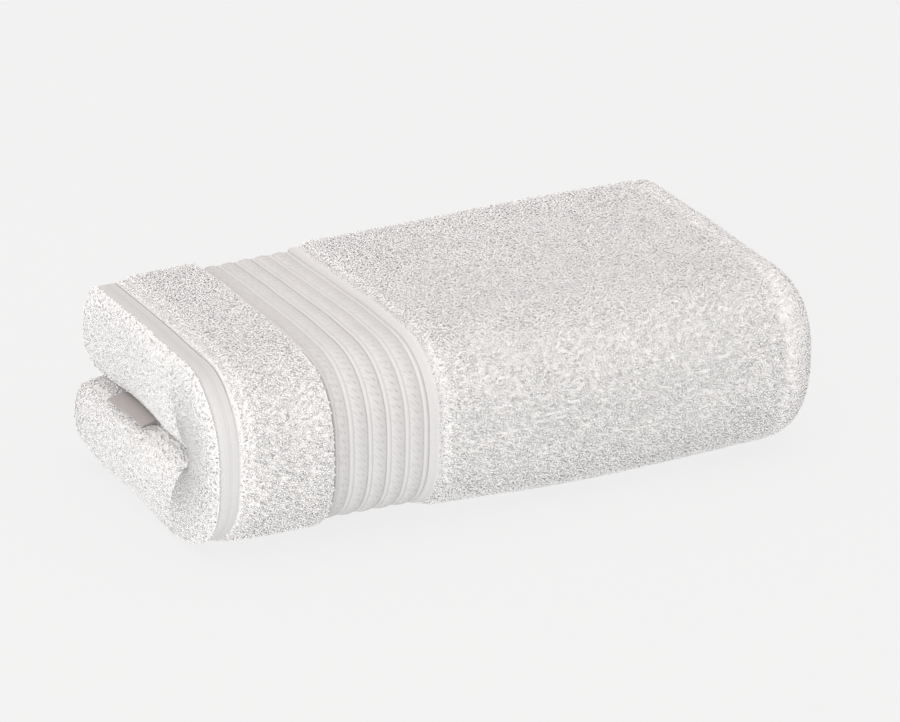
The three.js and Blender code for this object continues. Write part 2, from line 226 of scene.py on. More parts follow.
def book_point(x, share, angle, out, beyond):
    """The bundle seen along x: y and z of a stop, out being the share of the way from the crease."""
    top = HEIGHT - HEM_DROP * (1 - smooth(x, 20, DROP_LENGTH))
    flat = DEPTH - SPINE_REACH - DEPTH_TAPER * (1 - smooth(x, -10, LENGTH))
    behind = share * (flat + LAYER_SLIP * (1 - out)) + beyond
    hollow = (CREASE_HOLLOW - CREASE_GAP) * (1 - smooth(behind, 0, HOLLOW_DEPTH))
    opening = CREASE_GAP + hollow
    crease = crease_height(behind)
    shoulder = CREASE_SHOULDER * (1 - smooth(x, -8, 16))
    low, high = crease + opening / 2, crease - opening / 2 - shoulder
    turn = np.radians(angle)
    over = turn >= 0
    across_top, up_top = quarter(turn, SHOULDER_POWER)
    up_low = quarter(turn, HEEL_STEP_POWER)[1]
    heel = heel_power(x)
    across_low = np.maximum(0, 1 - np.abs(up_low) ** heel) ** (1 / heel)
    across, up = np.where(over, across_top, across_low), np.where(over, up_top, up_low)
    outer_y = SPINE_REACH - SPINE_REACH * across
    outer_z = FRONT_HEIGHT + np.where(over, top - FRONT_DROP - FRONT_HEIGHT, FRONT_HEIGHT) * up
    inner_y = SPINE_REACH - opening / 2 * np.cos(turn)
    inner_z = (low + high) / 2 + (low - high) / 2 * up
    spine = np.abs(angle) < 90
    drop = FRONT_DROP * (1 - np.sin(np.pi / 2 * np.clip(1.6 * behind / flat, 0, 1)))
    flat_z = np.where(angle > 0, low + (top - drop - low) * out, high * (1 - out))
    y = np.where(spine, inner_y + (outer_y - inner_y) * out, SPINE_REACH + behind)
    y = y - CREASE_REACH * (1 - out) * (1 - smooth(share, 0, 0.4)) * (1 - smooth(x, -6, 40))
    z = np.where(spine, inner_z + (outer_z - inner_z) * out, flat_z)
    return y, z


def shift_along(x, share, angle, out):
    skew = np.where(angle >= 90, SKEW_TOP, SKEW_UNDER)
    fade = 1 - smooth(x, -END_BULGE, SKEW_LENGTH)
    outside = 1 - smooth(x, -12, 14)
    under = 1 - smooth(angle, -60, 60)
    fullness = 1 - smooth(out, 0.55, 1) * (1 - LOWER_SAG * share)
    at_crease = (0.7 + 0.3 * smooth(share, 0, 0.25) - 0.5 * smooth(share, 0, 0.5)) * (1 - smooth(out, 0, 0.5))
    lower = -LOWER_BULGE * under * (fullness - at_crease) * (0.45 + 0.55 * smooth(share, 0, 0.6))
    rounding = LOBE_ROUND * share * smooth(share, -0.05, 0.35)
    lean = (rounding * (1 - smooth(out, 0, 0.55)) - LEAN * out) * (1 - under)
    at_end = smooth(x, LENGTH - 80, LENGTH)
    at_front = 1 - smooth(np.abs(angle + 35), 0, 110)
    near_spine = 1 - smooth(share, 0, 0.6)
    pull = CORNER_PULL * at_end * at_front * near_spine * out
    at_foot = (1 - smooth(angle, -90, -15)) * near_spine * out
    run = HEM_FOOT_RUN * (1 - smooth(x, 14, 60)) - LOBE_TUCK * (1 - smooth(x, -7, 1))
    round_front = (1 - smooth(angle, 35, 88)) * near_spine * out
    edges = STRIP_LEAN * smooth(x, 40, 61) * (1 - smooth(x, 64, 76)) - HEM_FRONT_RUN * (1 - smooth(x, 8, 50))
    below = np.where(angle <= -90, smooth(share, 0, 0.3), 0)
    tuck = (HEM_UNDER_TUCK + HEM_BACK_TUCK * smooth(share, 0.4, 0.9)) * below
    tuck = tuck * smooth(x, -1.5, 4) * (1 - smooth(x, 20, 90))
    shift = skew * share * fade + (lower + lean) * outside - pull + tuck
    return shift - run * at_foot + edges * round_front


def folded(p, q, through, beyond=0.0):
    """Where the fold puts a place on the cloth. through is measured from the slab's inner side as a
    share of its thickness there, plus any millimetres."""
    p, q = np.broadcast_arrays(np.asarray(p, float), np.asarray(q, float))
    x0, h0, way_x, way_h = (np.interp(p, P, ROLL[:, i]) for i in range(4))
    share, angle = (np.interp(q, Q, STOPS[:, i]) for i in range(2))
    x = x0 + way_x * through
    out = (h0 + way_h * through) / STACK
    outer = smooth(through, PILE_PLY + GAP_IN_SLAB, SLAB)
    free = np.where(angle <= -90, 0.5 * smooth(share, 0.8, 1), 0)
    seen = (1 - free) * (LOWER_SWELL + (1 - LOWER_SWELL) * smooth(angle, -90, -45))
    out = out * (1 + SWELL * outer * seen * (1 - smooth(x, SWELL_END, SWELL_START)))
    y, z = book_point(x, share, angle, out, beyond)
    return np.stack([x + shift_along(x, share, angle, out), y, z], -1)


LATTICE = rng.uniform(-1, 1, (32, 32, 32, 3))


def soft_noise(points, size):
    """Smooth noise, three values from -1 to 1 at each point, whose lumps are about size apart."""
    cell = points / size
    low = np.floor(cell).astype(int)
    t = cell - low
    t = t * t * (3 - 2 * t)
    total = 0
    for corner in np.ndindex(2, 2, 2):
        weight = np.prod(np.where(corner, t, 1 - t), axis=-1, keepdims=True)
        total = total + weight * LATTICE[tuple(((low + corner) % 32).T)]
    return total


def uneven(points):
    """The slight waves and sags of soft layers that lie on each other, the same through all layers."""
    shape = points.shape
    flat = points.reshape(-1, 3)
    move = 1.5 * soft_noise(flat + 1716, 95.0) + 0.6 * soft_noise(flat + 1367, 38.0)
    rise = smooth(flat[:, 2], 0, 30)
    move[:, 2] *= rise
    move[:, 0] *= 0.4 + 0.6 * rise
    return (flat + move).reshape(shape)


OFFSET = np.array([LENGTH - 1000 * cad_high.x, -1000 * cad_low.y, 0.0])


def placed(points):
    """From the folding's millimetres to the frame's metres."""
    return (points - OFFSET) / 1000


def make_piece(name, points, quads, tris, material, **attributes):
    mesh = bpy.data.meshes.new(name)
    mesh.vertices.add(len(points))
    mesh.vertices.foreach_set("co", placed(points).astype(np.float32).ravel())
    quads = np.asarray(quads, np.int32).reshape(-1, 4)
    tris = np.asarray(tris, np.int32).reshape(-1, 3)
    corners = np.concatenate([quads.ravel(), tris.ravel()])
    starts = [np.arange(len(quads)) * 4, 4 * len(quads) + np.arange(len(tris)) * 3]
    starts = np.concatenate(starts).astype(np.int32)
    mesh.loops.add(len(corners))
    mesh.loops.foreach_set("vertex_index", corners)
    mesh.polygons.add(len(starts))
    mesh.polygons.foreach_set("loop_start", starts)
    mesh.update(calc_edges=True)
    mesh.validate()
    mesh.polygons.foreach_set("use_smooth", np.ones(len(mesh.polygons), bool))
    for key, values in attributes.items():
        kind = "FLOAT" if values.ndim == 1 else "FLOAT_VECTOR"
        layer = mesh.attributes.new(key, kind, "POINT")
        layer.data.foreach_set("value" if kind == "FLOAT" else "vector", values.astype(np.float32).ravel())
    mesh.materials.append(material)
    piece = bpy.data.objects.new(name, mesh)
    bpy.context.scene.collection.objects.link(piece)
    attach(piece, "root")
    return piece


# ---- Materials
def new_material(name, color, roughness, sheen=0.0):
    material = bpy.data.materials.new(name)
    material.use_nodes = True
    tree = material.node_tree
    shader = tree.nodes["Principled BSDF"]
    shader.inputs["Base Color"].default_value = (*color, 1)
    shader.inputs["Roughness"].default_value = roughness
    shader.inputs["Specular IOR Level"].default_value = 0.15
    shader.inputs["Sheen Weight"].default_value = sheen
    shader.inputs["Sheen Roughness"].default_value = 0.6
    return material, tree, shader


def add(tree, kind, **settings):
    node = tree.nodes.new(kind)
    for key, value in settings.items():
        if key in node.inputs:
            node.inputs[key].default_value = value
        else:
            setattr(node, key, value)
    return node


def math_node(tree, operation, a, b=None):
    node = add(tree, "ShaderNodeMath", operation=operation)
    for socket, value in zip(node.inputs, (a, b)):
        if value is None:
            continue
        if isinstance(value, (int, float)):
            socket.default_value = value
        else:
            tree.links.new(value, socket)
    return node.outputs[0]


def noise_node(tree, scale, detail=2.0):
    """Noise in the object's own metres, whose lumps are about 1/scale apart."""
    coords = add(tree, "ShaderNodeTexCoord")
    noise = add(tree, "ShaderNodeTexNoise", Scale=scale, Detail=detail)
    tree.links.new(coords.outputs["Object"], noise.inputs["Vector"])
    return noise.outputs["Fac"]


def bump(tree, shader, height, distance, strength=1.0):
    node = add(tree, "ShaderNodeBump", Strength=strength, Distance=distance)
    tree.links.new(height, node.inputs["Height"])
    tree.links.new(node.outputs[0], shader.inputs["Normal"])


def tinted(tree, shader, color, factor, low, high):
    """The colour times low to high, as factor goes from 0 to 1."""
    mix = add(tree, "ShaderNodeMix", data_type="RGBA")
    mix.inputs["A"].default_value = (*(c * low for c in color), 1)
    mix.inputs["B"].default_value = (*(min(1.0, c * high) for c in color), 1)
    tree.links.new(factor, mix.inputs["Factor"])
    tree.links.new(mix.outputs["Result"], shader.inputs["Base Color"])


SCATTER = 0.7
YARN = (0.985, 0.965, 0.955)
# The woven parts are painted darker than the yarn: painted shade standing in for the light that their weave
# traps.
COTTON_WITH_PAINTED_SHADE = (0.65, 0.636, 0.628)


def pile_material():
    material, tree, shader = new_material("pile", YARN, 0.95, 0.25)
    # The tone attribute holds each loop's random tone, with painted shade on the lobes and painted light on
    # top of the strip.
    tone = add(tree, "ShaderNodeAttribute", attribute_name="tone")
    tinted(tree, shader, YARN, tone.outputs["Fac"], 0.87, 1.01)
    bump(tree, shader, noise_node(tree, 2200.0), 0.0002, 0.5)
    # Light scatters through the soft yarn
    shader.inputs["Subsurface Weight"].default_value = SCATTER
    shader.inputs["Subsurface Radius"].default_value = (1.0, 1.0, 1.0)
    shader.inputs["Subsurface Scale"].default_value = 0.0018
    return material


def ground_material():
    """The cloth's ground weave and the fine cords of its hem, coloured by the tone attribute, which holds
    painted shade such as the dark line in the seam's groove.
    """
    material, tree, shader = new_material("ground", COTTON_WITH_PAINTED_SHADE, 0.95, 0.1)
    cloth = add(tree, "ShaderNodeAttribute", attribute_name="cloth")
    split = add(tree, "ShaderNodeSeparateXYZ")
    tree.links.new(cloth.outputs["Vector"], split.inputs[0])
    u = split.outputs[0]
    cords = math_node(tree, "SINE", math_node(tree, "MULTIPLY", u, 2 * math.pi / 1.7))
    in_hem = math_node(tree, "LESS_THAN", u, 9.6)
    cords = math_node(tree, "MULTIPLY", math_node(tree, "MULTIPLY", cords, in_hem), 0.12)
    rough = math_node(tree, "ADD", noise_node(tree, 900.0), cords)
    bump(tree, shader, rough, 0.0005, 0.5)
    tone = add(tree, "ShaderNodeAttribute", attribute_name="tone")
    tinted(tree, shader, YARN, tone.outputs["Fac"], 0.0, 1.0)
    return material


def border_material():
    material, tree, shader = new_material("border weave", COTTON_WITH_PAINTED_SHADE, 0.8, 0.1)
    cloth = add(tree, "ShaderNodeAttribute", attribute_name="cloth")
    split = add(tree, "ShaderNodeSeparateXYZ")
    tree.links.new(cloth.outputs["Vector"], split.inputs[0])
    u, v = split.outputs[0], split.outputs[1]
    warp = math_node(tree, "SINE", math_node(tree, "MULTIPLY", u, 2 * math.pi / 0.9))
    weft = math_node(tree, "SINE", math_node(tree, "MULTIPLY", v, 2 * math.pi / 0.7))
    weave = math_node(tree, "MULTIPLY", warp, weft)
    rough = math_node(tree, "ADD", math_node(tree, "MULTIPLY", weave, 0.3), noise_node(tree, 1500.0))
    bump(tree, shader, rough, 0.00025, 0.6)
    # The tone attribute holds painted shade in the grooves, furrows and along the edges, and a little
    # mottling.
    tone = add(tree, "ShaderNodeAttribute", attribute_name="tone")
    tinted(tree, shader, COTTON_WITH_PAINTED_SHADE, tone.outputs["Fac"], 0.5, 1.0)
    return material


def label_material():
    color = (0.43, 0.39, 0.37)
    material, tree, shader = new_material("label satin", color, 0.45, 0.2)
    cloth = add(tree, "ShaderNodeAttribute", attribute_name="cloth")
    split = add(tree, "ShaderNodeSeparateXYZ")
    tree.links.new(cloth.outputs["Vector"], split.inputs[0])
    u, v = split.outputs[0], split.outputs[1]
    ribs = math_node(tree, "SINE", math_node(tree, "MULTIPLY", v, 2 * math.pi / 0.6))
    fine = math_node(tree, "SINE", math_node(tree, "MULTIPLY", u, 2 * math.pi / 0.35))
    weave = math_node(tree, "ADD", ribs, math_node(tree, "MULTIPLY", fine, 0.4))
    bump(tree, shader, weave, 0.00006, 0.8)
    tinted(tree, shader, color, noise_node(tree, 900.0), 0.85, 1.12)
    return material


MATERIALS = {
    "pile": pile_material(),
    "ground": ground_material(),
    "border": border_material(),
    "label": label_material(),
}


# ---- The cloth: one closed sheet that goes round both plies of the slab
def through_outer(p):
    """How far the ground of the outside lies through the slab, under the tips of the pile."""
    return 2 * ply_at(from_hem(p)) + GAP_IN_SLAB


def from_hem(p):
    """Distance from the outer hem, for the bands. They are only on the outside, before the turn."""
    return np.where(p <= MARKS["outer"], p, FAR_FROM_HEM)


def sink(p, q):
    """How far the ground lies under the pile's tips. On the underside it is next to nothing, but not
    on the lobes and the turn at its two ends, which show."""
    angle = np.interp(q, Q, STOPS[:, 1])
    ground = ground_at(from_hem(p)) * (1 - 0.5 * on_lobe(p)) * (1 - 0.75 * beside_hem(p))
    raised = 0.1 + 0.9 * smooth(angle, -90, -66)
    return ground * np.maximum(raised, np.maximum(on_lobe(p), on_turn(p)))


def on_lobe(p):
    """1 on the lobes of the left end, with a soft step to 0."""
    lobe, end = MARKS["lobe"], MARKS["lobe end"]
    return smooth(p, lobe - 30, lobe - 10) * (1 - smooth(p, end, end + 10))


def on_turn(p):
    """1 on the turn at the right end, with a soft step to 0."""
    outer, turn = MARKS["outer"], MARKS["turn"]
    return smooth(p, outer + 4, outer + 16) * (1 - smooth(p, turn + 10, turn + 26))


def beside_hem(p):
    """1 on the line where the lobe meets the hem, with a soft step to 0."""
    return 1 - smooth(np.abs(p - MARKS["hem side"]), 0.5, 9)


def cloth_rows():
    """Values of p for the rows of the cloth's mesh."""
    outer, turn, lobe, side = (MARKS[name] for name in ("outer", "turn", "lobe", "hem side"))
    runs = [
        (0, 9.4, 1.5),
        (9.4, 12, 0.22),
        (12, 14, 0.5),
        (14, 20, 1.0),
        (20, BORDER_START - 2, 3.6),
        (BORDER_START - 2, BORDER_START + 2, 0.8),
        (BORDER_START + 2, BORDER_END - 2, 4),
        (BORDER_END - 2, FIELD_START + 3, 0.9),
        (FIELD_START + 3, outer, 4.6),
        (outer, turn, 3.0),
        (turn, turn + 30, 6),
        (turn + 30, lobe - 30, 40),
        (lobe - 30, lobe, 5),
        (lobe, side - 1, 2.0),
        (side - 1, side + 1.2, 0.22),
        (side + 1.5, MARKS["lobe end"], 4),
        (MARKS["lobe end"], MARKS["end"] - 20, 24),
    ]
    return np.concatenate([np.arange(*run) for run in runs] + [[MARKS["end"]]])


def cloth_stops():
    """Values of q for the stops of the cloth's mesh: coarse below, fine on the front and top."""
    low = np.linspace(0, Q_LOW, 16)[:-1]
    spine = np.linspace(Q_LOW, Q_HIGH, 64)[:-1]
    top = np.linspace(Q_HIGH, Q[-1], 43)
    return np.concatenate([low, spine, top])


def thin_line(u, at, half):
    """1 on a line at a distance from the hem, with a soft step to 0."""
    return 1 - smooth(np.abs(u - at), 0.4 * half, half)


def ground_tone_and_painted_shading(u, angle):
    """How pale the ground is, with painted light and shade: the woven hem traps less light than pile does, so
    it is painted darker, and its seam gets a line of painted shade.
    """
    # Painted shade and highlight on the hem: paler on the front than on top, and a painted highlight along
    # its rounded outer edge.
    hem = 0.565 + 0.08 * (1 - smooth(angle, 10, 80)) + 0.07 * (1 - smooth(u, 0, 4.5))
    tone = banded(u, [0, 0.7, 0.9, 0.93, 0.62, 0.6], 0.93)
    tone = tone + hem * (1 - smooth(u, 9.1, 10.9))
    # Painted shade in the seam's groove: a thin dark line, stronger on top than on the front.
    seam = 0.12 + 0.38 * smooth(angle, 0, 80)
    tone = tone * (1 - seam * thin_line(u, 10.7, 0.65)) * (1 - 0.06 * thin_line(u, 6.2, 0.7))
    # Painted shade beside the border: the low pile past it starts dark and pales over 6 mm away from its
    # edge.
    past_border = smooth(u, BORDER_END, BORDER_END + 6)
    return tone + 0.13 * past_border * (1 - smooth(u, FIELD_START - 3, FIELD_START + 3))


def make_cloth():
    p, q = cloth_rows(), cloth_stops()
    skip = 3
    inner_q = q[::skip]
    pp, qq = np.meshgrid(p, q, indexing="ij")
    pi, qi = np.meshgrid(p, inner_q, indexing="ij")
    thick = through_outer(pp)
    low_thick, low_ply = through_outer(pi), ply_at(from_hem(pi))
    outside = folded(pp, qq, thick - sink(pp, qq))
    edge_p = p[:, None]
    edge_thick = through_outer(edge_p)
    edge_sink = ground_at(from_hem(edge_p))
    turns = np.radians([[-62, -36, -12, 12, 36, 62]])
    across = edge_thick - edge_sink - 0.3
    turn = folded(
        edge_p + 0 * turns,
        Q[-1] + 0 * edge_p + 0 * turns,
        0.3 + across / 2 * (1 - np.sin(turns)),
        (edge_thick / 2 - edge_sink) * np.cos(turns),
    )
    inner_top = folded(pi, qi, 0.3)[:, ::-1]
    inner_under = folded(pi, qi, low_ply)
    hub = folded(edge_p, Q[-1] + 0 * edge_p, edge_thick / 2, GAP_IN_SLAB / 2)
    outer_under = folded(pi, qi, low_thick - low_ply)[:, ::-1]
    loop = np.concatenate([outside, turn, inner_top, inner_under, hub, outer_under], axis=1)
    rows, n = loop.shape[:2]
    i, j = np.meshgrid(np.arange(rows - 1), np.arange(n), indexing="ij")
    a, b = i * n + j, i * n + (j + 1) % n
    quads = np.stack([a, b, b + n, a + n], -1).reshape(-1, 4)
    tris = []
    counts = [len(q), turns.size, len(inner_q), len(inner_q), 1, len(inner_q)]
    starts = np.concatenate([[0], np.cumsum(counts)])
    for first, flip in ((0, False), ((rows - 1) * n, True)):
        run = [first + np.arange(starts[k], starts[k + 1]) for k in range(6)]
        top, turned, inside = run[0], run[1], run[2][::-1]
        under, centre, outer = run[3], run[4][0], run[5][::-1]
        cap = []
        for k in range(len(outer) - 1):
            fine = top[k * skip : (k + 1) * skip + 1]
            cap += [(fine[m + 1], fine[m], outer[k]) for m in range(len(fine) - 1)]
            cap.append((outer[k + 1], fine[-1], outer[k]))
            cap += [(under[k], under[k + 1], inside[k]), (inside[k], under[k + 1], inside[k + 1])]
        fan = [top[-1], *turned, inside[-1]]
        rim = [outer[-1]] + [centre] * (len(fan) - 2) + [under[-1]]
        for k in range(len(fan) - 1):
            cap.append((fan[k + 1], fan[k], rim[k]))
            if rim[k] != rim[k + 1]:
                cap.append((fan[k + 1], rim[k], rim[k + 1]))
        cap = np.array(cap)
        tris.append(cap[:, ::-1] if flip else cap)
    points = uneven(loop.reshape(-1, 3))
    points[:, 2] = np.maximum(points[:, 2], 0)
    cloth = np.zeros((rows, n, 3))
    cloth[..., 0] = np.where(np.arange(n) < len(q), from_hem(p)[:, None], INSIDE_MARK)
    cloth[:, : len(q), 1] = q
    tone = np.full((rows, n), 0.86)
    angle = np.interp(q, Q, STOPS[:, 1])
    # Painted shade: the ground on the lobes is greyer, most on the lower lobe, where more light falls.
    lobe = on_lobe(p)[:, None] * (0.06 + 0.05 * (1 - smooth(angle, -40, 40))[None])
    tone[:, : len(q)] = ground_tone_and_painted_shading(from_hem(p)[:, None], angle[None]) - lobe
    tone[:, len(q) : len(q) + turns.size] = tone[:, len(q) - 1 : len(q)]
    tris = np.concatenate(tris)
    layers = {"cloth": cloth.reshape(-1, 3), "tone": tone.ravel()}
    piece = make_piece("cloth", points, quads, tris, MATERIALS["ground"], **layers)
    everything = np.concatenate([quads[:, [0, 1, 2]], quads[:, [0, 2, 3]], tris])
    tree = BVHTree.FromPolygons(points.tolist(), everything.tolist())
    return piece, tree


# ---- The border: corded ribs with a twill twist, each with a narrow rib and a fine line beside it
RIB_COUNT, EDGE_MARGIN = 5, 1.7
NARROW, FINE_LINE, GROOVE = 2.5, 0.5, 0.5
ROPE_HEIGHT, NARROW_HEIGHT, GROOVE_DEPTH = 0.95, 0.5, 0.35
TWIST, SLANT, TWIST_DEPTH = 3.3, 1.15, 1.0
RIB_PITCH = (BORDER_END - BORDER_START - 2 * EDGE_MARGIN - NARROW) / RIB_COUNT


def border_relief(u, v):
    """Height above the border's ground, in a run of narrow rib, fine line, rope and groove."""
    at = (u - BORDER_START - EDGE_MARGIN) / RIB_PITCH
    part = (at % 1) * RIB_PITCH
    rope_start, rope_end = NARROW + FINE_LINE, RIB_PITCH - GROOVE
    rope = np.clip((part - rope_start) / (rope_end - rope_start), 0, 1)
    crown = np.sin(np.pi * rope)
    twist = TWIST_DEPTH * (0.35 - border_twist(u, v)) * crown**0.5
    ribs = ROPE_HEIGHT * crown**0.55 + np.where(crown > 0, twist, 0)
    narrow = np.clip(part / NARROW, 0, 1)
    ribs = np.maximum(ribs, NARROW_HEIGHT * np.sin(np.pi * narrow) ** 0.6)
    ribs = ribs - GROOVE_DEPTH * (1 - smooth(RIB_PITCH - part, 0, GROOVE))
    last = np.clip((at - RIB_COUNT) * RIB_PITCH / NARROW, 0, 1)
    end_rib = NARROW_HEIGHT * np.sin(np.pi * last) ** 0.6
    inside = (at > 0) & (at < RIB_COUNT)
    edge = -0.7 * (1 - smooth(np.minimum(u - BORDER_START, BORDER_END - u), 0, EDGE_MARGIN))
    return np.where(inside, ribs, np.maximum(end_rib, 0) + edge)


def border_twist(u, v):
    """The furrows between a rope's slanting strands, from 0 to 1."""
    part = ((u - BORDER_START - EDGE_MARGIN) / RIB_PITCH % 1) * RIB_PITCH
    slant = v + SLANT * (part - NARROW)
    inside = (part > NARROW + FINE_LINE) & (part < RIB_PITCH - GROOVE)
    return np.where(inside, 1 - np.abs(np.sin(np.pi * slant / TWIST)) ** 0.6, 0)


def border_lines():
    """Values of u across the border, closest together at its grooves."""
    rope_start, rope_end = NARROW + FINE_LINE, RIB_PITCH - GROOVE
    shares = np.array([0, 0.04, 0.11, 0.21, 0.33, 0.45, 0.55, 0.67, 0.79, 0.89, 0.96, 1])
    unit = np.concatenate([
        [0, 0.12, 0.45, NARROW / 2, NARROW - 0.45, NARROW - 0.1, NARROW + FINE_LINE / 2],
        rope_start + shares * (rope_end - rope_start),
        [RIB_PITCH - GROOVE / 2],
    ])
    first = BORDER_START + EDGE_MARGIN
    runs = [first + k * RIB_PITCH + unit for k in range(RIB_COUNT)]
    last = first + RIB_COUNT * RIB_PITCH + NARROW * np.array([0, 0.08, 0.25, 0.5, 0.75, 0.92, 1])
    before = BORDER_START + np.array([-0.9, -0.4, 0.1, 0.5, 0.9, 1.3])
    return np.concatenate([before, *runs, last, BORDER_END + np.array([-1.2, -0.8, -0.4, 0, 0.4, 0.9])])


def make_border():
    u = border_lines()
    v = np.arange(Q_LOW - 12, Q[-1], 0.9)
    uu, vv = np.meshgrid(u, v, indexing="ij")
    edge = np.minimum(uu - u[0], u[-1] - uu)
    sunk = 1.6 * (1 - smooth(edge, 0, 1.2))
    sunk = np.maximum(sunk, 1.6 * (1 - smooth(vv - v[0], 0, 6)))
    ground = 2 * BORDER_PLY + GAP_IN_SLAB
    angle = np.interp(vv, Q, STOPS[:, 1])
    relief = border_relief(uu, vv)
    lift = relief * (0.1 + 0.9 * smooth(angle, -90, -70))
    points = uneven(folded(uu, vv, ground + lift - sunk).reshape(-1, 3))
    points[:, 2] = np.maximum(points[:, 2], 0)
    n = len(v)
    i, j = np.meshgrid(np.arange(len(u) - 1), np.arange(n - 1), indexing="ij")
    a = (i * n + j).ravel()
    quads = np.stack([a, a + 1, a + n + 1, a + n], -1)
    cloth = np.stack([uu, vv, 0 * uu], -1).reshape(-1, 3)
    # Painted shade: darker in the grooves and low places of the relief.
    tone = 0.9 + 0.1 * smooth(relief, -0.35, 0.5)
    # Painted shade along the border's edges: dark next to the higher pile strip, paling over about 3 mm, and
    # a narrower dark edge on the far side.
    tone = tone * (0.62 + 0.38 * smooth(uu - BORDER_START, 0.2, 3.5))
    tone = tone * (0.7 + 0.3 * smooth(BORDER_END - uu, 0.1, 1.8))
    patchy = soft_noise(cloth, 5.0)[:, 0].reshape(uu.shape)
    # Painted shade in the twist's furrows; the patchy term is the cloth's own mottling.
    tone = tone * (1 - 0.17 * border_twist(uu, vv)) * (1 + 0.015 * patchy)
    tone = np.clip((tone - 0.5) / 0.5, 0, 1).ravel()
    return make_piece("border", points, quads, [], MATERIALS["border"], cloth=cloth, tone=tone)


# ---- The pile: loops of yarn, each a small tube bent into an upturned U
RINGS = [(-0.5, -0.2), (-0.42, 0.86), (0.42, 0.86), (0.5, -0.2)]  # share of width and of height
SIDES = 3
PIECE_LIMIT = 190000  # triangles in a piece of the pile
OPEN_REACH = 45.0  # how far from a loop nothing may be in the way, in mm


def scattered(p0, p1, q0, q1, spacing):
    p = np.arange(p0, p1, spacing)
    q = np.arange(q0, q1, spacing)
    pp, qq = np.meshgrid(p, q, indexing="ij")
    pp = pp + rng.uniform(0, spacing, pp.shape)
    qq = qq + rng.uniform(0, spacing, qq.shape)
    keep = (pp < p1) & (qq < q1)
    return pp[keep], qq[keep]


def on_outside(p, q):
    """Root, outward normal and direction along p, for places on the outside."""
    def at(p, q, more=0.0):
        return uneven(folded(p, q, through_outer(p) - sink(p, q) + more))

    root = at(p, q)
    along = at(p + 0.6, q) - at(p - 0.6, q)
    round_book = at(p, q + 0.6) - at(p, q - 0.6)
    normal = np.cross(along, round_book)
    normal /= np.linalg.norm(normal, axis=-1, keepdims=True) + 1e-9
    outward = at(p, q, 0.5) - root
    normal *= np.sign((normal * outward).sum(-1, keepdims=True))
    along /= np.linalg.norm(along, axis=-1, keepdims=True) + 1e-9
    return root, normal, along


def on_back_edge(p, turn):
    """The same for places on the first fold, at the back of the top."""
    def at(p, turn, more=0.0):
        thick, depth = through_outer(p), ground_at(from_hem(p))
        across = thick - depth - 0.3
        through = 0.3 + across / 2 * (1 - np.sin(turn)) - more * np.sin(turn)
        beyond = (thick / 2 - depth + more) * np.cos(turn)
        return uneven(folded(p, Q[-1], through, beyond))

    root = at(p, turn)
    along = at(p + 0.6, turn) - at(p - 0.6, turn)
    normal = np.cross(along, at(p, turn + 0.08) - at(p, turn - 0.08))
    normal /= np.linalg.norm(normal, axis=-1, keepdims=True) + 1e-9
    outward = at(p, turn, 0.5) - root
    normal *= np.sign((normal * outward).sum(-1, keepdims=True))
    along /= np.linalg.norm(along, axis=-1, keepdims=True) + 1e-9
    return root, normal, along


def exposed(tree, root, normal, height):
    """Which of the roots have pile that shows: a ray from the tip gets away from the cloth."""
    seen = np.zeros(len(root), bool)
    lean = [(0, 0, 0), (1, 0, 0), (-1, 0, 0), (0, 1, 0), (0, -1, 0), (0, 0, 1), (0, 0, -0.6)]
    lean += [(-3, -1, 0.6), (-2, -4, 1.6), (-4, 1, 0.3), (-6, -1, 0.4), (-6, 3, 0)]  # out of the crease
    for k in range(len(root)):
        start = Vector(root[k] + normal[k] * (height[k] + 0.6))
        for tilt in np.array(lean):
            way = Vector(normal[k] + 0.9 * tilt).normalized()
            if way.z < -0.05 and start.z < -OPEN_REACH * way.z:
                continue
            if tree.ray_cast(start, way, OPEN_REACH)[0] is None:
                seen[k] = True
                break
    return seen


def loop_tubes(root, normal, along, height, width, radius):
    """Points of each loop: its first foot, the sides of its two shoulders, and its second foot."""
    n = len(root)
    turn = rng.normal(0, 0.8, n)
    side = np.cross(normal, along)
    across = along * np.cos(turn)[:, None] + side * np.sin(turn)[:, None]
    facing = np.cross(normal, across)
    lean = rng.normal(0, 0.16, (n, 2)) + 0.45 * soft_noise(root + 300, 11.0)[:, :2]
    tip = normal + lean[:, :1] * along + lean[:, 1:] * side
    kink = rng.normal(0, 0.18, (n, len(RINGS)))
    centres = []
    for k, (a, b) in enumerate(RINGS):
        centre = root + across * (a * width)[:, None] + tip * (b * height)[:, None]
        centres.append(centre + facing * (kink[:, k] * width)[:, None])
    points = [centres[0]]
    for k in (1, 2):
        way = centres[k + 1] - centres[k - 1]
        way /= np.linalg.norm(way, axis=-1, keepdims=True) + 1e-9
        e1 = np.cross(facing, way)
        e2 = np.cross(way, e1)
        for s in range(SIDES):
            angle = 2 * math.pi * s / SIDES
            spoke = math.cos(angle) * e1 + math.sin(angle) * e2
            points.append(centres[k] + radius[:, None] * spoke)
    points.append(centres[3])
    return np.stack(points, 1)


def yarn_tone_and_painted_shading(p, q):
    """How pale each loop is, from 0 to 1: one yarn differs from the next at random, loops on the lobes are
    greyer with painted shade, and loops on top of the strip paler with painted light.
    """
    angle = np.interp(q, Q, STOPS[:, 1])
    # Painted light: the loops on top of the strip are paler.
    painted_light_on_strip_top = (p < BORDER_START) * smooth(angle, 50, 90)
    # Painted shade: loops on the lobes are greyer, except on the underside.
    return rng.uniform(0.65, 0.85, len(p)) - 0.55 * on_lobe(p) * smooth(angle, -80, 0) + 0.3 * painted_light_on_strip_top


